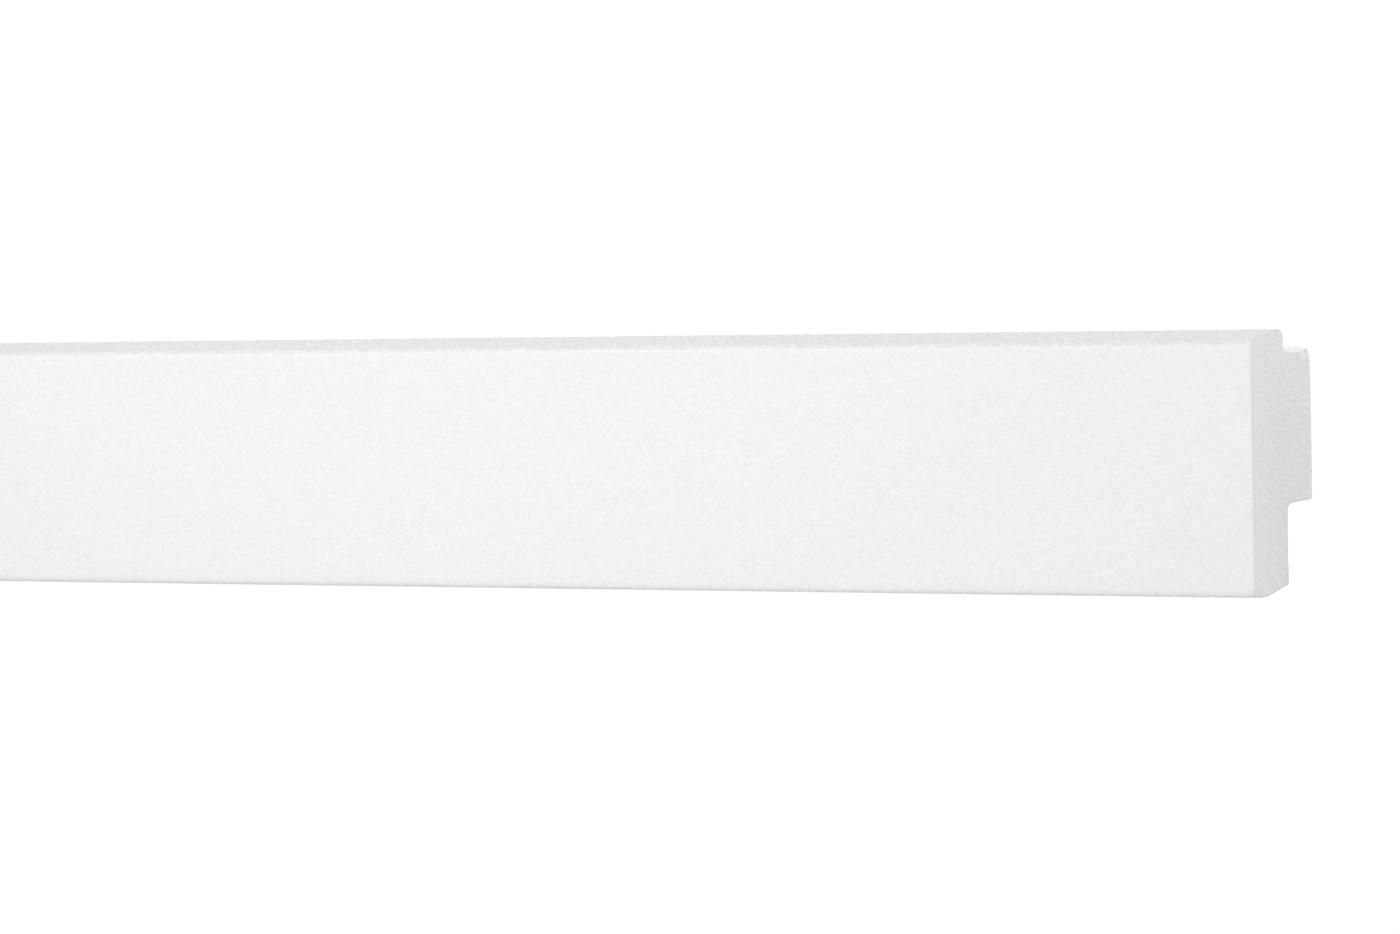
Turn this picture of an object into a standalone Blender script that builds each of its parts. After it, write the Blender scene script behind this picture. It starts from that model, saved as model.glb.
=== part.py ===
# Indirect-light cornice moulding in white rigid foam, one length cut square at both ends.
# X runs along the length, the face turned to the room looks towards -Y, the wall is the
# plane y = 0 and +Z is up. The origin is the middle of the face that is glued to the wall.
# All sizes are in metres and all angles in degrees.

from math import atan2, ceil, cos, degrees, radians, sin, tan

import bmesh
import bpy
from mathutils import Vector

# Overall sizes
LENGTH = 0.450
HEIGHT = 0.065
DEPTH = 0.025

# Front panel, thinner above the rear block than below it, with both edges climbing backwards.
# The underside starts nearly level, then bends up towards the back of the lower lip.
UPPER_LIP_THICKNESS = 0.0138
LOWER_LIP_THICKNESS = 0.0147
LOWER_LIP_HOLLOW = 0.0003
TOP_BEVEL_ANGLE = 14.1
BOTTOM_FRONT_ANGLE = 1.0
BOTTOM_REAR_ANGLE = 16.5
BOTTOM_BEND_DEPTH = 0.0054

# Rear block, which stands off the wall side of the panel between the two light channels
UPPER_CHANNEL_HEIGHT = 0.0051
BLOCK_HEIGHT = 0.0374
BLOCK_TOP_ANGLE = 4.0
BLOCK_UNDERSIDE_ANGLE = 4.3

# Radii of the eased edges, the inner corners and the two soft bends
FRONT_TOP_RADIUS = 0.0013
FRONT_BOTTOM_RADIUS = 0.0012
LIP_TOP_RADIUS = 0.0018
LIP_BOTTOM_RADIUS = 0.0008
UPPER_INNER_RADIUS = 0.0008
LOWER_INNER_RADIUS = 0.0018
BLOCK_TOP_RADIUS = 0.0015
BLOCK_BOTTOM_RADIUS = 0.0009
BOTTOM_BEND_RADIUS = 0.0120
LIP_HOLLOW_RADIUS = 0.1000

# Largest turn of the outline between two points of an arc
ARC_STEP = 6.0

FOAM_COLOUR = (0.86, 0.86, 0.855, 1.0)
FOAM_ROUGHNESS = 0.75


def clear_scene():
    for existing in list(bpy.data.objects):
        bpy.data.objects.remove(existing, do_unlink=True)


def rise(angle, run):
    """Height gained over a run backwards by a face that climbs at the angle."""
    return run * tan(radians(angle))


def past_rounding(angle, radius):
    """How far a rounded edge's sharp corner lies beyond the edge's own outermost point.

    The edge joins an upright face and a face that leaves it at the angle off level.
    """
    return radius * (tan(radians(angle)) + 1.0 / cos(radians(angle)) - 1.0)


def sharp_corners():
    """Corners of the section before they are rounded, as depth, height and radius.

    Depth is measured back from the front face and height up from the lowest point.
    """
    lip_top = HEIGHT + past_rounding(TOP_BEVEL_ANGLE, LIP_TOP_RADIUS)
    front_top = lip_top - rise(TOP_BEVEL_ANGLE, UPPER_LIP_THICKNESS)
    front_bottom = -past_rounding(BOTTOM_FRONT_ANGLE, FRONT_BOTTOM_RADIUS)
    bend = front_bottom + rise(BOTTOM_FRONT_ANGLE, BOTTOM_BEND_DEPTH)
    lip_bottom = bend + rise(BOTTOM_REAR_ANGLE, LOWER_LIP_THICKNESS - BOTTOM_BEND_DEPTH)
    block_top = HEIGHT - UPPER_CHANNEL_HEIGHT
    block_top_back = block_top + rise(BLOCK_TOP_ANGLE, DEPTH - UPPER_LIP_THICKNESS)
    underside = block_top - BLOCK_HEIGHT
    underside_back = underside + rise(BLOCK_UNDERSIDE_ANGLE, DEPTH - LOWER_LIP_THICKNESS)
    hollow_depth = LOWER_LIP_THICKNESS - LOWER_LIP_HOLLOW
    return [
        (0.0, front_bottom, FRONT_BOTTOM_RADIUS),
        (0.0, front_top, FRONT_TOP_RADIUS),
        (UPPER_LIP_THICKNESS, lip_top, LIP_TOP_RADIUS),
        (UPPER_LIP_THICKNESS, block_top, UPPER_INNER_RADIUS),
        (DEPTH, block_top_back, BLOCK_TOP_RADIUS),
        (DEPTH, underside_back, BLOCK_BOTTOM_RADIUS),
        (LOWER_LIP_THICKNESS, underside, LOWER_INNER_RADIUS),
        (hollow_depth, (underside + lip_bottom) / 2.0, LIP_HOLLOW_RADIUS),
        (LOWER_LIP_THICKNESS, lip_bottom, LIP_BOTTOM_RADIUS),
        (BOTTOM_BEND_DEPTH, bend, BOTTOM_BEND_RADIUS),
    ]


def wall_face_middle(corners):
    """Height of the middle of the face glued to the wall."""
    wall_heights = [height for depth, height, _ in corners if depth == DEPTH]
    return sum(wall_heights) / len(wall_heights)


def rounded_corner(before, corner, after, radius):
    """Points of the arc that eases a corner, whether it juts out or is hollow."""
    to_before = (before - corner).normalized()
    to_after = (after - corner).normalized()
    half_opening = to_before.angle(to_after) / 2.0
    centre = corner + (to_before + to_after).normalized() * (radius / sin(half_opening))
    reach = radius / tan(half_opening)
    first = corner + to_before * reach - centre
    last = corner + to_after * reach - centre
    start = atan2(first.y, first.x)
    turn = atan2(first.x * last.y - first.y * last.x, first.dot(last))
    steps = max(1, ceil(abs(degrees(turn)) / ARC_STEP))
    angles = [start + turn * step / steps for step in range(steps + 1)]
    return [centre + radius * Vector((cos(angle), sin(angle))) for angle in angles]


def section_outline():
    """The rounded section as (y, z) points, seen with the wall at y = 0."""
    corners = sharp_corners()
    origin = Vector((DEPTH, wall_face_middle(corners)))
    places = [Vector((depth, height)) - origin for depth, height, _ in corners]
    outline = []
    for index, (_, _, radius) in enumerate(corners):
        before = places[index - 1]
        after = places[(index + 1) % len(places)]
        outline += rounded_corner(before, places[index], after, radius)
    return outline


def foam_material():
    material = bpy.data.materials.new("white_foam")
    material.use_nodes = True
    shader = material.node_tree.nodes["Principled BSDF"]
    shader.inputs["Base Color"].default_value = FOAM_COLOUR
    shader.inputs["Roughness"].default_value = FOAM_ROUGHNESS
    shader.inputs["Metallic"].default_value = 0.0
    return material


def cornice_length(material):
    """The whole moulding: its section run straight along X and cut square."""
    shape = bmesh.new()
    rim = [shape.verts.new((-LENGTH / 2.0, point.x, point.y)) for point in section_outline()]
    end_face = shape.faces.new(rim)
    grown = bmesh.ops.extrude_face_region(shape, geom=[end_face], use_keep_orig=True)
    far_rim = [item for item in grown["geom"] if isinstance(item, bmesh.types.BMVert)]
    bmesh.ops.translate(shape, vec=(LENGTH, 0.0, 0.0), verts=far_rim)
    bmesh.ops.recalc_face_normals(shape, faces=shape.faces)
    mesh = bpy.data.meshes.new("cornice_length")
    shape.to_mesh(mesh)
    shape.free()
    mesh.materials.append(material)
    mesh.shade_smooth()
    mesh.set_sharp_from_angle(angle=radians(30.0))
    moulding = bpy.data.objects.new("cornice_length", mesh)
    bpy.context.collection.objects.link(moulding)
    return moulding


clear_scene()
cornice_length(foam_material())
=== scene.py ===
from math import ceil, cos, pi, radians, sin

import bmesh
import bpy
import numpy as np
from mathutils import Euler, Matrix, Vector
from mathutils.geometry import delaunay_2d_cdt


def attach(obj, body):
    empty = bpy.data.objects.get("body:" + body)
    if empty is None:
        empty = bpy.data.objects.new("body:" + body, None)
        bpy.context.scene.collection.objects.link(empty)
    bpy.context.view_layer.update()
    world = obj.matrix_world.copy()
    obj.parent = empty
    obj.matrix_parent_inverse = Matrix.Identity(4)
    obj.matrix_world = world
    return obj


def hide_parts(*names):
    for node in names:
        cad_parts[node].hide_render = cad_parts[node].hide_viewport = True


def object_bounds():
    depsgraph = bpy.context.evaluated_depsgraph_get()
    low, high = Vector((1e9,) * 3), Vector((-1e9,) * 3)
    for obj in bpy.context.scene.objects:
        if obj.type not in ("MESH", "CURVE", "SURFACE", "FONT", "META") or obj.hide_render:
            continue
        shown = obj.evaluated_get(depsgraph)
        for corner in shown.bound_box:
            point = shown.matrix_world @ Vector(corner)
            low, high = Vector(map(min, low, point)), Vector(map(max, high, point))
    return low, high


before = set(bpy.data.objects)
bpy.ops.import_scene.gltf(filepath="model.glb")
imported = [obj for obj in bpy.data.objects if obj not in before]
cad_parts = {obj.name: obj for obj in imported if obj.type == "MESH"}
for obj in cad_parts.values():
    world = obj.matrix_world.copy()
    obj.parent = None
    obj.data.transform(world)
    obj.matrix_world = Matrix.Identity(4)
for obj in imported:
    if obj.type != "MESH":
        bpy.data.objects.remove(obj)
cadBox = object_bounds()
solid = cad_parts["cornice_length"]


# node helpers, used by the geometry tree and by the materials

def addSockets(tree, direction, kind, names):
    for name in names:
        tree.interface.new_socket(name, in_out=direction, socket_type="NodeSocket" + kind)


def addNode(tree, kind, plugs=None, **settings):
    # plugs maps a socket's name or number to a value, or to the output that feeds it
    node = tree.nodes.new(kind)
    for name, value in settings.items():
        setattr(node, name, value)
    for key, value in (plugs or {}).items():
        if isinstance(value, bpy.types.NodeSocket):
            tree.links.new(value, node.inputs[key])
        else:
            node.inputs[key].default_value = value
    return node


def calc(tree, operation, *values, clamp=False):
    plugs = dict(enumerate(values))
    return addNode(tree, "ShaderNodeMath", plugs, operation=operation, use_clamp=clamp).outputs[0]


def vecCalc(tree, operation, first, second=None, scale=None):
    plugs = {0: first, 1: second, "Scale": scale}
    plugs = {key: value for key, value in plugs.items() if value is not None}
    node = addNode(tree, "ShaderNodeVectorMath", plugs, operation=operation)
    return node.outputs["Value" if operation == "LENGTH" else "Vector"]


def remap(tree, value, fromMin, fromMax, toMin, toMax, kind="LINEAR"):
    plugs = {"Value": value, "From Min": fromMin, "From Max": fromMax, "To Min": toMin, "To Max": toMax}
    return addNode(tree, "ShaderNodeMapRange", plugs, interpolation_type=kind, clamp=True).outputs[0]


def axesOf(tree, vector):
    return addNode(tree, "ShaderNodeSeparateXYZ", {0: vector}).outputs


# the section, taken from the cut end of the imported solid

section = {
    "mergeWithin": 1e-6,      # corners of the solid that lie closer than this are one
    "sameWithin": 1e-5,       # places that differ by less count as the same
    "flatStep": 0.00105,      # distance between points along a flat face
    "flatSlack": 0.2,         # a part that is longer by this share of a step stays whole
    "arcStep": 0.00055,       # distance between points round an eased edge
    "arcTurn": radians(20),   # most that the rim turns between two points
    "fillStep": 0.00034,      # spacing of the points inside a cut end
    "fillRise": 0.866,        # from one row of them to the next, in spacings
    "fillMargin": 0.00072,    # how far they keep from the rim
    "fillWithin": 1e-7,       # inside points that lie closer than this are one
}

# what the hot wire and wear took off the faces, always inwards, so the piece stays in the solid
easing = {
    # the glued face eases in at both ends: depth and power, and its reach forwards
    "wall": {"above": (0.00034, 4.0), "below": (0.00012, 2.0), "reach": 0.0012},
    # the top of the block is dished, and climbs again to the wall: shares of its depth
    "ledge": {"dip": 0.00082, "fall": 0.25, "climbFrom": 0.66, "climb": 0.28,
              "under": 0.0015, "over": 0.0025},
    # the front face leans in towards its lower edge
    "foot": {"lean": 0.00028, "height": 0.0032, "reach": 0.0020},
    # where the back of the upper lip is looked for, above the block and in front of the wall
    "lip": {"above": 0.002, "within": 0.001, "depth": 0.014},
}


def readRim(node, endX):
    mesh = bmesh.new()
    mesh.from_mesh(node.data)
    bmesh.ops.remove_doubles(mesh, verts=mesh.verts, dist=section["mergeWithin"])
    near = section["sameWithin"]
    capFaces = {face for face in mesh.faces if all(abs(v.co.x - endX) < near for v in face.verts)}
    rimEdges = {edge for edge in mesh.edges if sum(face in capFaces for face in edge.link_faces) == 1}
    corners = {vert for edge in rimEdges for vert in edge.verts}
    first = min(corners, key=lambda vert: (round(vert.co.y, 5), vert.co.z))
    rim, at, used = [], first, set()
    while True:
        rim.append(Vector((at.co.y, at.co.z)))
        edge = next((e for e in at.link_edges if e in rimEdges and e not in used), None)
        if edge is None:
            break
        used.add(edge)
        at = edge.other_vert(at)
    mesh.free()
    rim.pop()   # the walk ends where it began
    if signedArea(rim) > 0:
        rim.reverse()
    return rim


def signedArea(points):
    return sum(a.x * b.y - b.x * a.y for a, b in zip(points, points[1:] + points[:1])) / 2


def respace(rim):
    # fewer points round the small radii, more along the flat faces
    kept, gone, turn = [], 0.0, 0.0
    for index, point in enumerate(rim):
        before, after = rim[index - 1], rim[(index + 1) % len(rim)]
        gone += (point - before).length
        turn += (point - before).angle(after - point)
        longNext = (after - point).length > section["arcStep"]
        if not kept or longNext or gone > section["arcStep"] or turn > section["arcTurn"]:
            kept.append(point)
            gone = turn = 0.0
    spaced = []
    for index, point in enumerate(kept):
        after = kept[(index + 1) % len(kept)]
        parts = ceil((after - point).length / section["flatStep"] - section["flatSlack"])
        spaced += [point.lerp(after, part / max(parts, 1)) for part in range(max(parts, 1))]
    return spaced


def clipped(share):
    return min(max(share, 0.0), 1.0)


def ease(share):
    share = clipped(share)
    return share * share * (3 - 2 * share)


def easeFaces(rim):
    glued, ledge, foot, lip = (easing[part] for part in ("wall", "ledge", "foot", "lip"))
    frontY, wallY = min(point.x for point in rim), max(point.x for point in rim)
    wall = [point.y for point in rim if wallY - point.x < section["sameWithin"]]
    low, high, lowest = min(wall), max(wall), min(point.y for point in rim)
    besideLip = [point.x for point in rim if abs(point.y - (high + lip["above"])) < lip["within"]]
    lipBack = min(y for y in besideLip if y > wallY - lip["depth"])
    eased = []
    for point in rim:
        across = clipped((point.y - low) / (high - low)) * 2 - 1
        amount, power = glued["above" if across > 0 else "below"]
        onWall = clipped(1 - (wallY - point.x) / glued["reach"])
        inward = amount * abs(across) ** power * onWall
        along = (point.x - lipBack) / (wallY - lipBack)
        onLedge = 1.0 if high - ledge["under"] < point.y < high + ledge["over"] else 0.0
        climb = 1 - ease((along - ledge["climbFrom"]) / ledge["climb"])
        down = ledge["dip"] * ease(along / ledge["fall"]) * climb * onLedge
        onFront = clipped(1 - (point.x - frontY) / foot["reach"])
        lean = foot["lean"] * max(1 - (point.y - lowest) / foot["height"], 0.0) ** 2 * onFront
        eased.append(point + Vector((lean - inward, -down)))
    return eased


def outwardOf(rim):
    # for a rim that runs clockwise, seen from its +X end
    found = []
    for index, point in enumerate(rim):
        before = (point - rim[index - 1]).normalized()
        after = (rim[(index + 1) % len(rim)] - point).normalized()
        tangent = (before + after).normalized()
        found.append(Vector((-tangent.y, tangent.x)))
    return found


def insidePoints(rim):
    # a hexagonal grid of points, kept where they lie inside the rim and clear of it
    step, margin = section["fillStep"], section["fillMargin"]
    edge = np.array(rim)
    low, high = edge.min(0), edge.max(0)
    rows = np.arange(low[1], high[1], step * section["fillRise"])
    places = np.array([
        (y + (row % 2) * step / 2, z)
        for row, z in enumerate(rows)
        for y in np.arange(low[0], high[0], step)
    ])
    ends = np.roll(edge, -1, 0)
    inside = np.zeros(len(places), bool)
    nearest = np.full(len(places), np.inf)
    for (ay, az), (by, bz) in zip(edge, ends):
        crosses = (az > places[:, 1]) != (bz > places[:, 1])
        if az != bz:
            inside ^= crosses & (places[:, 0] < ay + (places[:, 1] - az) * (by - ay) / (bz - az))
        span = np.array((by - ay, bz - az))
        share = np.clip((places - (ay, az)) @ span / (span @ span), 0, 1)
        gap = places - ((ay, az) + share[:, None] * span)
        nearest = np.minimum(nearest, np.hypot(gap[:, 0], gap[:, 1]))
    return [Vector(place) for place in places[inside & (nearest > margin)]]


def makeSection(endX):
    rim = easeFaces(respace(readRim(solid, endX)))
    points = rim + insidePoints(rim)
    border = list(range(len(rim)))
    placed, _, faces, *_ = delaunay_2d_cdt(points, [], [border], 1, section["fillWithin"])
    mesh = bpy.data.meshes.new("section")
    mesh.from_pydata([(0, p.x, p.y) for p in placed], [], faces)
    outward = np.zeros((len(placed), 3), np.float32)
    outward[:len(rim), 1:] = outwardOf(rim)
    mesh.attributes.new("outward", "FLOAT_VECTOR", "POINT").data.foreach_set("vector", outward.ravel())
    print("section:", len(rim), "rim points,", len(faces), "faces in a cut end")
    return mesh, len(rim)


# the run: the section swept along X and closed by the two cut ends

run = {
    "Length": cadBox[1].x - cadBox[0].x,
    "Straight Steps": 380,
    "Cut Edge Steps": 4,
    "Cut Edge Radius": 0.0004,
    "Crumble": 0.00016,         # how deep the cut edges crumble
    "Wave Height": 0.00006,     # long unevenness left by the hot wire
    "Wave Length": 0.045,
    "Skin Relief": 0.000035,
    "Skin Size": 0.0042,
    "Cell Depth": 0.00006,      # open cells on the cut ends
    "Cell Size": 0.0013,
    "Seed": 4.0,
}

# how the relief is laid on; a turn says how far a face looks towards a cut end, from 0 to 1
relief = {
    "skinTurn": (0.02, 0.30),            # the skin's relief fades out between these turns
    "cutTurn": (0.80, 0.97),             # the cells fade in between these
    "finishTurn": 0.7,                   # past this turn a face takes the cut's finish
    "waveStretch": (0.35, 1.0, 1.0),
    "bowl": (0.10, 0.75),                # a cell's hollow, from its middle to its wall
    "bowlSize": 1.6, "chipSize": 0.9,    # how fast hollows and chips vary, in cell sizes
    "chip": (0.42, 0.80),
    # detail and seed of each noise
    "waveNoise": (1.0, 0.0), "skinNoise": (2.0, 1.7), "bowlNoise": (3.0, 3.1), "chipNoise": (3.0, 5.3),
    "knockFlat": 0.3,                    # share of a knock's reach that is pressed in fully
    "joinWithin": 0.00001, "closeWithin": 0.000002,
}

# small knocks in the edges: place, reach and depth
knocks = [
    ((0.2250, -0.0250, -0.0262), 0.0012, 0.00034),
    ((0.2250, -0.0243, 0.0199), 0.0010, 0.00030),
    ((0.2250, -0.0016, 0.0187), 0.0036, 0.00050),
    ((0.2250, -0.0103, -0.0330), 0.0009, 0.00020),
    ((0.2250, -0.0250, -0.0420), 0.0036, 0.00030),
    ((-0.2250, -0.0250, 0.0071), 0.0013, 0.00036),
    ((-0.2250, 0.0, -0.0148), 0.0015, 0.00040),
    ((0.1123, -0.0112, 0.0229), 0.0016, 0.00030),
    ((-0.0871, 0.0, 0.0178), 0.0018, 0.00030),
]


def sweptSkin(tree, given, outward):
    # a grid with one column of points for each rim point, and one row for each station
    radius, edgeSteps = given["Cut Edge Radius"], given["Cut Edge Steps"]
    around = calc(tree, "ADD", given["Rim Points"], 1)
    lastRow = calc(tree, "MULTIPLY_ADD", edgeSteps, 2, given["Straight Steps"])
    rows = calc(tree, "ADD", lastRow, 1)
    grid = addNode(tree, "GeometryNodeMeshGrid", {"Vertices X": rows, "Vertices Y": around}).outputs["Mesh"]
    number = addNode(tree, "GeometryNodeInputIndex").outputs[0]
    row = calc(tree, "FLOOR", calc(tree, "DIVIDE", number, around))
    column = calc(tree, "MODULO", calc(tree, "MODULO", number, around), given["Rim Points"])

    def fromSection(field):
        plugs = {"Geometry": given["Section"], "Value": field, "Index": column}
        return addNode(tree, "GeometryNodeSampleIndex", plugs, data_type="FLOAT_VECTOR").outputs[0]

    # stations: a quarter round at each cut edge, even steps between them
    quarter = pi / 2
    leftTurn = remap(tree, row, 0, edgeSteps, 0, quarter)
    rightStart = calc(tree, "ADD", edgeSteps, given["Straight Steps"])
    rightTurn = remap(tree, row, rightStart, lastRow, 0, quarter)
    halfRun = calc(tree, "MULTIPLY", given["Length"], 0.5)
    straightEnd = calc(tree, "SUBTRACT", halfRun, radius)
    straightStart = calc(tree, "MULTIPLY", straightEnd, -1)
    straight = remap(tree, row, edgeSteps, rightStart, straightStart, straightEnd)
    swing = calc(tree, "SUBTRACT", calc(tree, "SINE", rightTurn), calc(tree, "COSINE", leftTurn))
    x = calc(tree, "MULTIPLY_ADD", swing, radius, straight)
    easeIn = calc(tree, "ADD", calc(tree, "SINE", leftTurn), calc(tree, "COSINE", rightTurn))
    inset = calc(tree, "MULTIPLY", calc(tree, "SUBTRACT", 2, easeIn), radius)
    place = addNode(tree, "GeometryNodeInputPosition").outputs[0]
    moved = vecCalc(tree, "SCALE", fromSection(outward), scale=inset)
    ring = vecCalc(tree, "SUBTRACT", fromSection(place), moved)
    station = addNode(tree, "ShaderNodeCombineXYZ", {"X": x}).outputs[0]
    ring = vecCalc(tree, "ADD", ring, station)
    return addNode(tree, "GeometryNodeSetPosition", {"Geometry": grid, "Position": ring}).outputs[0]


def cutEnds(tree, given, outward):
    # the section moved in by the edge's rounding, and its copy turned round
    shrink = vecCalc(tree, "SCALE", outward, scale=calc(tree, "MULTIPLY", given["Cut Edge Radius"], -1))
    flatPlugs = {"Geometry": given["Section"], "Offset": shrink}
    flat = addNode(tree, "GeometryNodeSetPosition", flatPlugs).outputs[0]
    turned = addNode(tree, "GeometryNodeFlipFaces", {"Mesh": flat}).outputs[0]
    halfRun = calc(tree, "MULTIPLY", given["Length"], 0.5)
    right = addNode(tree, "ShaderNodeCombineXYZ", {"X": halfRun}).outputs[0]
    left = vecCalc(tree, "SCALE", right, scale=-1.0)
    return [
        addNode(tree, "GeometryNodeTransform", {"Geometry": mesh, "Translation": side}).outputs[0]
        for mesh, side in ((flat, right), (turned, left))
    ]


def reliefDepth(tree, given, faceX):
    # how far each point is pressed in: waves and bumps on the skin, cells on the cuts, chips between
    place = addNode(tree, "GeometryNodeInputPosition").outputs[0]
    cellSize = given["Cell Size"]
    cutMask = remap(tree, faceX, *relief["cutTurn"], 0, 1, "SMOOTHSTEP")
    skinMask = remap(tree, faceX, *relief["skinTurn"], 1, 0, "SMOOTHSTEP")
    rimMask = calc(tree, "SUBTRACT", calc(tree, "SUBTRACT", 1, cutMask), skinMask, clamp=True)

    def noise(vector, size, kind):
        detail, seed = relief[kind]
        plugs = {"Vector": vector, "W": calc(tree, "ADD", given["Seed"], seed), "Detail": detail,
                 "Scale": calc(tree, "DIVIDE", 1, size)}
        return addNode(tree, "ShaderNodeTexNoise", plugs, noise_dimensions="4D").outputs["Fac"]

    stretched = vecCalc(tree, "MULTIPLY", place, relief["waveStretch"])
    waves = noise(stretched, given["Wave Length"], "waveNoise")
    waves = calc(tree, "MULTIPLY", waves, given["Wave Height"])
    bumps = calc(tree, "MULTIPLY", noise(place, given["Skin Size"], "skinNoise"), given["Skin Relief"])
    skinDepth = calc(tree, "MULTIPLY", calc(tree, "ADD", waves, bumps), skinMask)

    cellPlugs = {"Vector": place, "W": given["Seed"], "Scale": calc(tree, "DIVIDE", 1, cellSize)}
    cells = addNode(tree, "ShaderNodeTexVoronoi", cellPlugs, voronoi_dimensions="4D", feature="F1").outputs
    bowl = remap(tree, cells["Distance"], *relief["bowl"], 1, 0, "SMOOTHSTEP")
    rough = noise(place, calc(tree, "MULTIPLY", cellSize, relief["bowlSize"]), "bowlNoise")
    cutDepth = calc(tree, "MULTIPLY", calc(tree, "MULTIPLY", bowl, rough), given["Cell Depth"])
    cutDepth = calc(tree, "MULTIPLY", cutDepth, cutMask)

    chips = noise(place, calc(tree, "MULTIPLY", cellSize, relief["chipSize"]), "chipNoise")
    chips = remap(tree, chips, *relief["chip"], 0, 1)
    rimDepth = calc(tree, "MULTIPLY", calc(tree, "MULTIPLY", chips, given["Crumble"]), rimMask)

    depth = calc(tree, "ADD", calc(tree, "ADD", skinDepth, cutDepth), rimDepth)
    for centre, reach, most in knocks:
        away = vecCalc(tree, "LENGTH", vecCalc(tree, "SUBTRACT", place, centre))
        knock = remap(tree, away, reach * relief["knockFlat"], reach, most, 0, "SMOOTHSTEP")
        depth = calc(tree, "MAXIMUM", depth, knock)
    return depth


def corniceRunTree():
    tree = bpy.data.node_groups.new("corniceRun", "GeometryNodeTree")
    addSockets(tree, "INPUT", "Geometry", ["Section"])
    addSockets(tree, "INPUT", "Int", ["Rim Points"])
    for name, value in run.items():
        addSockets(tree, "INPUT", "Int" if isinstance(value, int) else "Float", [name])
    addSockets(tree, "INPUT", "Material", ["Skin", "Cut"])
    addSockets(tree, "OUTPUT", "Geometry", ["Moulding"])
    given = addNode(tree, "NodeGroupInput").outputs
    named = addNode(tree, "GeometryNodeInputNamedAttribute", {"Name": "outward"}, data_type="FLOAT_VECTOR")
    outward = named.outputs[0]

    joined = addNode(tree, "GeometryNodeJoinGeometry")
    for part in (sweptSkin(tree, given, outward), *cutEnds(tree, given, outward)):
        tree.links.new(part, joined.inputs[0])
    joinPlugs = {"Geometry": joined.outputs[0], "Distance": relief["joinWithin"]}
    closed = addNode(tree, "GeometryNodeMergeByDistance", joinPlugs).outputs[0]

    normal = addNode(tree, "GeometryNodeInputNormal").outputs[0]
    faceX = calc(tree, "ABSOLUTE", axesOf(tree, normal)["X"])
    inwards = calc(tree, "MULTIPLY", reliefDepth(tree, given, faceX), -1)
    pushPlugs = {"Geometry": closed, "Offset": vecCalc(tree, "SCALE", normal, scale=inwards)}
    worked = addNode(tree, "GeometryNodeSetPosition", pushPlugs).outputs[0]

    wholePlugs = {"Geometry": worked, "Distance": relief["closeWithin"]}
    whole = addNode(tree, "GeometryNodeMergeByDistance", wholePlugs).outputs[0]
    smooth = addNode(tree, "GeometryNodeSetShadeSmooth", {"Geometry": whole}).outputs[0]
    real = addNode(tree, "GeometryNodeRealizeInstances", {"Geometry": smooth}).outputs[0]
    skinPlugs = {"Geometry": real, "Material": given["Skin"]}
    skinned = addNode(tree, "GeometryNodeSetMaterial", skinPlugs).outputs[0]
    onCut = calc(tree, "GREATER_THAN", faceX, relief["finishTurn"])
    cutPlugs = {"Geometry": skinned, "Material": given["Cut"], "Selection": onCut}
    finished = addNode(tree, "GeometryNodeSetMaterial", cutPlugs).outputs[0]
    addNode(tree, "NodeGroupOutput", {0: finished})
    return tree


def makeMoulding(skinMaterial, cutMaterial):
    mesh, rimPoints = makeSection(cadBox[1].x)
    holder = bpy.data.objects.new("sectionHolder", mesh)
    bpy.context.collection.objects.link(holder)
    tree = corniceRunTree()
    modifier = holder.modifiers.new("run", "NODES")
    modifier.node_group = tree
    wanted = {"Rim Points": rimPoints, **run, "Skin": skinMaterial, "Cut": cutMaterial}
    for item in tree.interface.items_tree:
        if item.in_out == "INPUT" and item.name in wanted:
            modifier[item.identifier] = wanted[item.name]
    evaluated = holder.evaluated_get(bpy.context.evaluated_depsgraph_get())
    finished = bpy.data.meshes.new_from_object(evaluated)
    holder.modifiers.remove(modifier)
    bpy.data.objects.remove(holder)
    finished.name = "foamCornice"
    if "outward" in finished.attributes:
        finished.attributes.remove(finished.attributes["outward"])
    piece = bpy.data.objects.new("foamCornice", finished)
    bpy.context.collection.objects.link(piece)
    print("moulding:", sum(len(p.vertices) - 2 for p in finished.polygons), "triangles")
    return piece


# foam materials

grainShape = {
    # detail and seed of each noise, and its size in grain sizes
    "grain": (2.0, 0.0, 1.0), "tone": (1.0, 3.7, 0.85), "broad": (2.0, 8.1, 7.0),
    "slant": 0.7, "roughness": 0.5,                            # how a seed shifts a noise sideways
    "toneShare": 0.85, "broadShare": 0.15,
    "bowl": (0.0, 0.75),                                       # a round cell, from middle to wall
    # a torn-open cell is pressed in, and its hollow is darkened in colour as painted shade
    "pit": (0.22, 0.45), "pitDepth": 0.7, "pitShade": 0.45,     # a cell that was torn open
    "speckEvery": 26.0, "speck": (0.010, 0.022), "speckDark": 0.45,
}


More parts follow.
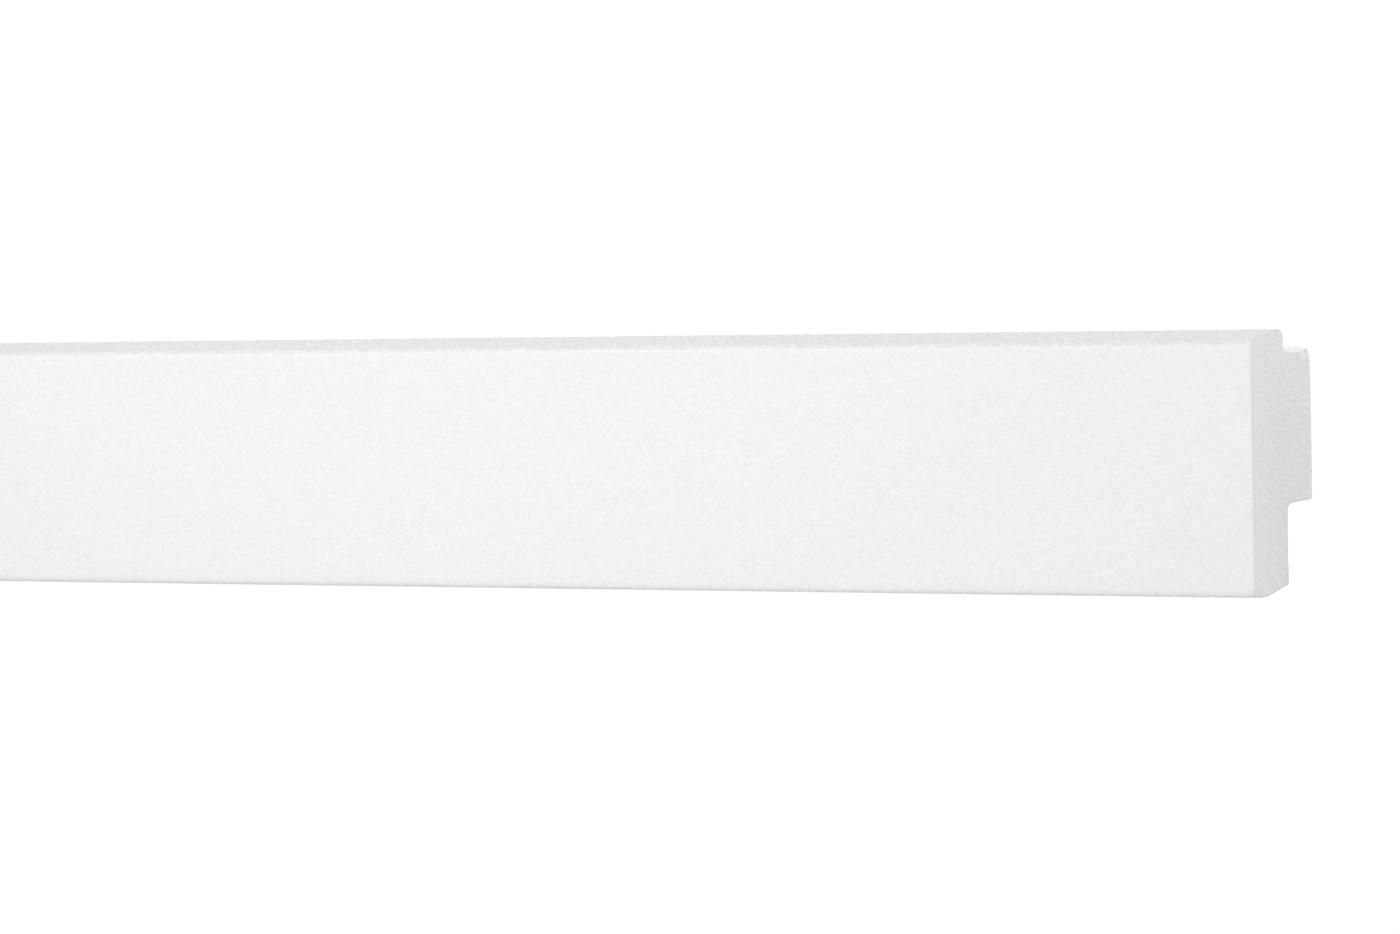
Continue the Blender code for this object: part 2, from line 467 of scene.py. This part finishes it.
def foamGrainGroup():
    # orange-peel grain, round cells, a few open pits with painted shade in their hollows, and stray specks,
    # sized in metres
    tree = bpy.data.node_groups.new("foamGrain", "ShaderNodeTree")
    addSockets(tree, "INPUT", "Vector", ["Vector"])
    addSockets(tree, "INPUT", "Float", ["Grain Size", "Cell Size", "Cell Share", "Pit Share", "Speck Size"])
    addSockets(tree, "OUTPUT", "Float", ["Height", "Mottle"])
    given = addNode(tree, "NodeGroupInput").outputs
    vector = given["Vector"]

    def noise(kind):
        detail, seed, size = grainShape[kind]
        shifted = vecCalc(tree, "ADD", vector, (seed, seed * grainShape["slant"], -seed))
        scale = calc(tree, "DIVIDE", 1, calc(tree, "MULTIPLY", given["Grain Size"], size))
        plugs = {"Vector": shifted, "Scale": scale, "Detail": detail, "Roughness": grainShape["roughness"]}
        return addNode(tree, "ShaderNodeTexNoise", plugs).outputs["Fac"]

    def cells(size):
        plugs = {"Vector": vector, "Scale": calc(tree, "DIVIDE", 1, size)}
        return addNode(tree, "ShaderNodeTexVoronoi", plugs).outputs

    bead = cells(given["Cell Size"])
    bowl = remap(tree, bead["Distance"], *grainShape["bowl"], 0, 1, "SMOOTHSTEP")
    chance = addNode(tree, "ShaderNodeSeparateColor", {0: bead["Color"]}).outputs[0]
    torn = calc(tree, "GREATER_THAN", given["Pit Share"], chance)
    pit = remap(tree, bead["Distance"], *grainShape["pit"], 1, 0, "SMOOTHSTEP")
    pit = calc(tree, "MULTIPLY", pit, torn)
    speckCells = cells(calc(tree, "MULTIPLY", given["Speck Size"], grainShape["speckEvery"]))
    speck = remap(tree, speckCells["Distance"], *grainShape["speck"], 1, 0, "SMOOTHSTEP")

    mixPlugs = {0: given["Cell Share"], 2: noise("grain"), 3: bowl}
    mixed = addNode(tree, "ShaderNodeMix", mixPlugs).outputs[0]
    height = calc(tree, "SUBTRACT", mixed, calc(tree, "MULTIPLY", pit, grainShape["pitDepth"]))
    broad = calc(tree, "MULTIPLY", noise("broad"), grainShape["broadShare"])
    mottle = calc(tree, "MULTIPLY_ADD", noise("tone"), grainShape["toneShare"], broad)
    # painted shade: the open pits are darkened in colour
    pitShadeTone = calc(tree, "MULTIPLY", pit, grainShape["pitShade"])
    speckTone = calc(tree, "MULTIPLY", speck, grainShape["speckDark"])
    mottle = calc(tree, "SUBTRACT", calc(tree, "SUBTRACT", mottle, pitShadeTone), speckTone, clamp=True)
    addNode(tree, "NodeGroupOutput", {"Height": height, "Mottle": mottle})
    return tree


# turns and tilts of a face that lies on a rounded cut edge
edgeShape = {"start": (0.15, 0.45), "stop": (0.90, 0.99), "tilt": (-0.30, 0.35)}


def edgeHighlightGroup():
    # the rounded cut edges, lightened in colour as a painted highlight, most of all at the upper faces where
    # the light falls
    tree = bpy.data.node_groups.new("edgeHighlight", "ShaderNodeTree")
    addSockets(tree, "INPUT", "Vector", ["Normal"])
    addSockets(tree, "INPUT", "Float", ["Highlight Below", "Highlight Above"])
    addSockets(tree, "OUTPUT", "Float", ["Edge", "Highlight"])
    given = addNode(tree, "NodeGroupInput").outputs
    facing = axesOf(tree, given["Normal"])
    turned = calc(tree, "ABSOLUTE", facing["X"])
    leaves = remap(tree, turned, *edgeShape["start"], 0, 1)
    edge = calc(tree, "MULTIPLY", leaves, remap(tree, turned, *edgeShape["stop"], 1, 0))
    amount = remap(tree, facing["Z"], *edgeShape["tilt"], given["Highlight Below"], given["Highlight Above"])
    addNode(tree, "NodeGroupOutput", {"Edge": edge, "Highlight": calc(tree, "MULTIPLY", edge, amount)})
    return tree


# what both finishes share
foam = {
    "ior": 1.45, "specular": 0.25,
    "mottleMost": 2.4,      # rough faces are mottled more strongly, up to this
    "edgeRelief": 0.3,      # how much of the relief is left on the rounded cut edges
}

skinFinish = {
    "grain": {"Grain Size": 0.0011, "Cell Size": 0.0016, "Speck Size": 0.0006,
              "Cell Share": 0.20, "Pit Share": 0.0},
    "bump": 0.00009, "stretch": (0.85, 1.0, 1.3),
    "dark": (0.80, 0.80, 0.80), "light": (0.925, 0.925, 0.925), "roughness": (0.55, 0.70),
    # painted highlight on the rounded cut edges: weak where they face down, strong where they face up
    "highlight": {"Highlight Below": 0.2, "Highlight Above": 0.8},
    # the panel's two bevels came out rougher than its front, the top of the block smoother
    "rough": {"from": 0.45, "to": 0.85, "bevel": 9.0,
              "ledge": 0.4, "ledgeFront": -0.0108, "ledgeBlend": 0.0008},
    # the wire has glazed the top of the block, which shines where it is seen almost edge on; its colour is
    # also lightened there as a painted highlight
    "glaze": {"amount": 1.0, "roughness": 0.12, "light": 0.5},
}

cutFinish = {
    "grain": {"Grain Size": 0.0013, "Cell Size": 0.0014, "Speck Size": 0.0006,
              "Cell Share": 0.50, "Pit Share": 0.20},
    "bump": 0.000185, "stretch": (1.0, 0.72, 1.2),
    "dark": (0.785, 0.785, 0.785), "light": (0.93, 0.93, 0.93), "roughness": (0.80, 0.92),
    # painted highlight on the rounded cut edges: weak where they face down, strong where they face up
    "highlight": {"Highlight Below": 0.2, "Highlight Above": 0.8},
    # just behind the front skin the foam is denser, and its cells are shallower
    "dense": {"from": -0.0225, "to": -0.0185, "amount": 0.5,
              "waver": 0.003, "waverScale": 150.0, "waverDetail": 2.0},
    # painted shade: the cut end darkens a little towards the wall, more so low down
    "paintedShade": {"from": -0.0215, "to": -0.0125, "front": 0.08,
             "low": -0.015, "high": 0.015, "backLow": -0.24, "backHigh": -0.02},
    # and along the long lip's back edge it is darker still, as painted shade
    "edgeShade": {"from": -0.0120, "to": -0.0107, "amount": -0.8, "top": -0.0185, "blend": 0.002},
}


def skinMask(tree, coords, zone):
    # how strong the relief is, by how far the face tilts and by how deep it lies
    tilt = calc(tree, "ABSOLUTE", axesOf(tree, coords["Normal"])["Z"])
    depth = axesOf(tree, coords["Object"])["Y"]
    start = zone["ledgeFront"]
    level = remap(tree, depth, start, start + zone["ledgeBlend"], zone["bevel"], zone["ledge"])
    return remap(tree, tilt, zone["from"], zone["to"], 1, level)


def cutMask(tree, coords, zone):
    # the border of the denser foam wavers
    plugs = {"Vector": coords["Object"], "Scale": zone["waverScale"], "Detail": zone["waverDetail"]}
    drift = addNode(tree, "ShaderNodeTexNoise", plugs).outputs["Fac"]
    drift = calc(tree, "MULTIPLY", calc(tree, "SUBTRACT", drift, 0.5), zone["waver"])
    depth = calc(tree, "ADD", axesOf(tree, coords["Object"])["Y"], drift)
    return remap(tree, depth, zone["from"], zone["to"], zone["amount"], 1)


def glazeAndPaintedHighlight(tree, tone, mask, finish, shader):
    zone, ledge = finish["glaze"], finish["rough"]["ledge"]
    glaze = remap(tree, mask, (1 + ledge) / 2, ledge, 0, zone["amount"])
    tree.links.new(glaze, shader.inputs["Coat Weight"])
    shader.inputs["Coat Roughness"].default_value = zone["roughness"]
    # painted highlight: besides its coat, the glazed top of the block is lightened in colour
    return calc(tree, "MULTIPLY_ADD", glaze, zone["light"], tone)


def paintedShadeTone(tree, tone, coords, finish):
    paintedShade, edgeShade = finish["paintedShade"], finish["edgeShade"]
    where = axesOf(tree, coords["Object"])
    # painted shade: darker towards the wall, more so low down
    back = remap(tree, where["Z"], paintedShade["low"], paintedShade["high"], paintedShade["backLow"], paintedShade["backHigh"])
    tone = calc(tree, "ADD", tone, remap(tree, where["Y"], paintedShade["from"], paintedShade["to"], paintedShade["front"], back))
    # painted shade along the back edge of the long lip
    amount = remap(tree, where["Y"], edgeShade["from"], edgeShade["to"], 0, edgeShade["amount"])
    onLip = remap(tree, where["Z"], edgeShade["top"] - edgeShade["blend"], edgeShade["top"], 1, 0)
    return calc(tree, "MULTIPLY_ADD", amount, onLip, tone)


def foamMaterial(name, finish, grainGroup, highlightGroup):
    material = bpy.data.materials.new(name)
    material.use_nodes = True
    tree = material.node_tree
    shader = tree.nodes["Principled BSDF"]
    coords = addNode(tree, "ShaderNodeTexCoord").outputs
    mapPlugs = {"Vector": coords["Object"], "Scale": finish["stretch"]}
    grainPlugs = {"Vector": addNode(tree, "ShaderNodeMapping", mapPlugs).outputs[0], **finish["grain"]}
    grain = addNode(tree, "ShaderNodeGroup", grainPlugs, node_tree=grainGroup).outputs
    highlightPlugs = {"Normal": coords["Normal"], **finish["highlight"]}
    roundedRim = addNode(tree, "ShaderNodeGroup", highlightPlugs, node_tree=highlightGroup).outputs
    onSkin = "rough" in finish
    if onSkin:
        mask = skinMask(tree, coords, finish["rough"])
    else:
        mask = cutMask(tree, coords, finish["dense"])

    # tone 0.5 is the foam's middle white
    centred = calc(tree, "SUBTRACT", grain["Mottle"], 0.5)
    tone = calc(tree, "MULTIPLY_ADD", centred, calc(tree, "MINIMUM", mask, foam["mottleMost"]), 0.5)
    # painted highlight: the rounded cut edges are lightened in colour
    tone = calc(tree, "ADD", tone, roundedRim["Highlight"])
    if onSkin:
        tone = glazeAndPaintedHighlight(tree, tone, mask, finish, shader)
    else:
        tone = paintedShadeTone(tree, tone, coords, finish)
    tone = calc(tree, "MINIMUM", calc(tree, "MAXIMUM", tone, 0.0), 1.0)
    tint = addNode(tree, "ShaderNodeMix", {0: tone}, data_type="RGBA")
    tint.inputs[6].default_value = (*finish["dark"], 1)
    tint.inputs[7].default_value = (*finish["light"], 1)
    tree.links.new(tint.outputs[2], shader.inputs["Base Color"])

    low, high = finish["roughness"]
    tree.links.new(remap(tree, grain["Mottle"], 0, 1, high, low), shader.inputs["Roughness"])
    height = calc(tree, "MULTIPLY", grain["Height"], mask)
    height = calc(tree, "MULTIPLY", height, remap(tree, roundedRim["Edge"], 0, 1, 1, foam["edgeRelief"]))
    bump = addNode(tree, "ShaderNodeBump", {"Height": height, "Distance": finish["bump"]})
    tree.links.new(bump.outputs[0], shader.inputs["Normal"])
    shader.inputs["IOR"].default_value = foam["ior"]
    shader.inputs["Specular IOR Level"].default_value = foam["specular"]
    return material


# studio: white surroundings, pale floor well below the hung moulding, soft lamps

studio = {
    "seenWhite": 1.02,       # what the camera and the gloss see behind the moulding
    "ambient": 0.45,         # what lights it from all round
    "floorHeight": -0.50,
    "floorRadius": 4.0,
    "floorSides": 96,
    "floorFade": (0.9, 3.9),     # the floor melts into the white surroundings between these radii
    "floorColour": (0.86, 0.86, 0.86, 1),
    "floorRoughness": 0.9,
    # azimuth and elevation as seen from the moulding, distance, width, height and power
    "lamps": {
        "keyHigh": (-20, 45, 0.7, 0.5, 0.3, 1.77),
        "keyFront": (0, 4, 0.45, 1.0, 0.15, 0.985),
        "sideCard": (85, 35, 0.45, 0.3, 0.2, 0.09),
        "rearCard": (125, 45, 1.2, 0.6, 0.5, 1.77),
        "wallSide": (160, 12, 0.9, 0.8, 0.2, 3.3),
        "endCard": (82, -5, 1.4, 0.8, 0.8, 1.75),
        "farCard": (-96, 10, 1.4, 0.8, 0.6, 2.6),
    },
    "aim": Vector((0.02, -0.01, -0.008)),
}


def makeFloor():
    mesh = bmesh.new()
    bmesh.ops.create_circle(mesh, cap_ends=True, segments=studio["floorSides"], radius=studio["floorRadius"])
    data = bpy.data.meshes.new("paleFloor")
    mesh.to_mesh(data)
    mesh.free()
    floor = bpy.data.objects.new("paleFloor", data)
    floor.location.z = studio["floorHeight"]
    bpy.context.collection.objects.link(floor)
    material = bpy.data.materials.new("palePaint")
    material.use_nodes = True
    tree = material.node_tree
    shader = tree.nodes["Principled BSDF"]
    shader.inputs["Base Color"].default_value = studio["floorColour"]
    shader.inputs["Roughness"].default_value = studio["floorRoughness"]
    away = vecCalc(tree, "LENGTH", addNode(tree, "ShaderNodeTexCoord").outputs["Object"])
    near, far = studio["floorFade"]
    tree.links.new(remap(tree, away, near, far, 1, 0, "SMOOTHSTEP"), shader.inputs["Alpha"])
    data.materials.append(material)


def makeWorld():
    world = bpy.data.worlds.new("whiteStudio")
    world.use_nodes = True
    tree = world.node_tree
    tree.nodes.clear()
    lit, seen = (
        addNode(tree, "ShaderNodeBackground", {"Color": (1, 1, 1, 1), "Strength": studio[key]}).outputs[0]
        for key in ("ambient", "seenWhite")
    )
    path = addNode(tree, "ShaderNodeLightPath").outputs
    direct = calc(tree, "MAXIMUM", path["Is Camera Ray"], path["Is Glossy Ray"])
    mixed = addNode(tree, "ShaderNodeMixShader", {0: direct, 1: lit, 2: seen}).outputs[0]
    addNode(tree, "ShaderNodeOutputWorld", {"Surface": mixed})
    bpy.context.scene.world = world


def makeLamp(name, azimuth, elevation, distance, width, height, power):
    data = bpy.data.lights.new(name, "AREA")
    data.shape = "RECTANGLE"
    data.size, data.size_y = width, height
    data.energy = power
    lamp = bpy.data.objects.new(name, data)
    bpy.context.collection.objects.link(lamp)
    turn, tilt = radians(azimuth), radians(elevation)
    away = Vector((sin(turn) * cos(tilt), -cos(turn) * cos(tilt), sin(tilt)))
    lamp.location = studio["aim"] + away * distance
    lamp.rotation_mode = "QUATERNION"
    lamp.rotation_quaternion = away.to_track_quat("Z", "Y")
    lamp.visible_camera = False


# camera, found from the moulding's parallel edges in the photograph

view = {
    "frameWidth": 1400, "focalPixels": 8650.0, "sensorWidth": 36.0, "clip": (0.05, 50.0),
    "turn": radians(39.569), "tilt": radians(-1.382), "roll": radians(1.041),
    "place": (1.45405, -1.72199, 0.04273),
}


def makeCamera():
    data = bpy.data.cameras.new("photoView")
    data.sensor_width = view["sensorWidth"]
    data.lens = view["sensorWidth"] * view["focalPixels"] / view["frameWidth"]
    data.clip_start, data.clip_end = view["clip"]
    camera = bpy.data.objects.new("photoView", data)
    bpy.context.collection.objects.link(camera)
    camera.location = view["place"]
    upright = Euler((radians(90) + view["tilt"], 0, view["turn"])).to_matrix()
    camera.rotation_euler = (upright @ Euler((0, 0, -view["roll"])).to_matrix()).to_euler()
    bpy.context.scene.camera = camera


makeCamera()
makeFloor()
makeWorld()
for lampName, lampValues in studio["lamps"].items():
    makeLamp(lampName, *lampValues)
bpy.context.scene.view_settings.view_transform = "Standard"
print("studio and camera ready")

grainGroup, highlightGroup = foamGrainGroup(), edgeHighlightGroup()
skinFoam = foamMaterial("foamSkin", skinFinish, grainGroup, highlightGroup)
cutFoam = foamMaterial("foamCut", cutFinish, grainGroup, highlightGroup)
print("foam finishes ready")

moulding = makeMoulding(skinFoam, cutFoam)
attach(moulding, "root")
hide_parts("cornice_length")
print("moulding dressed")
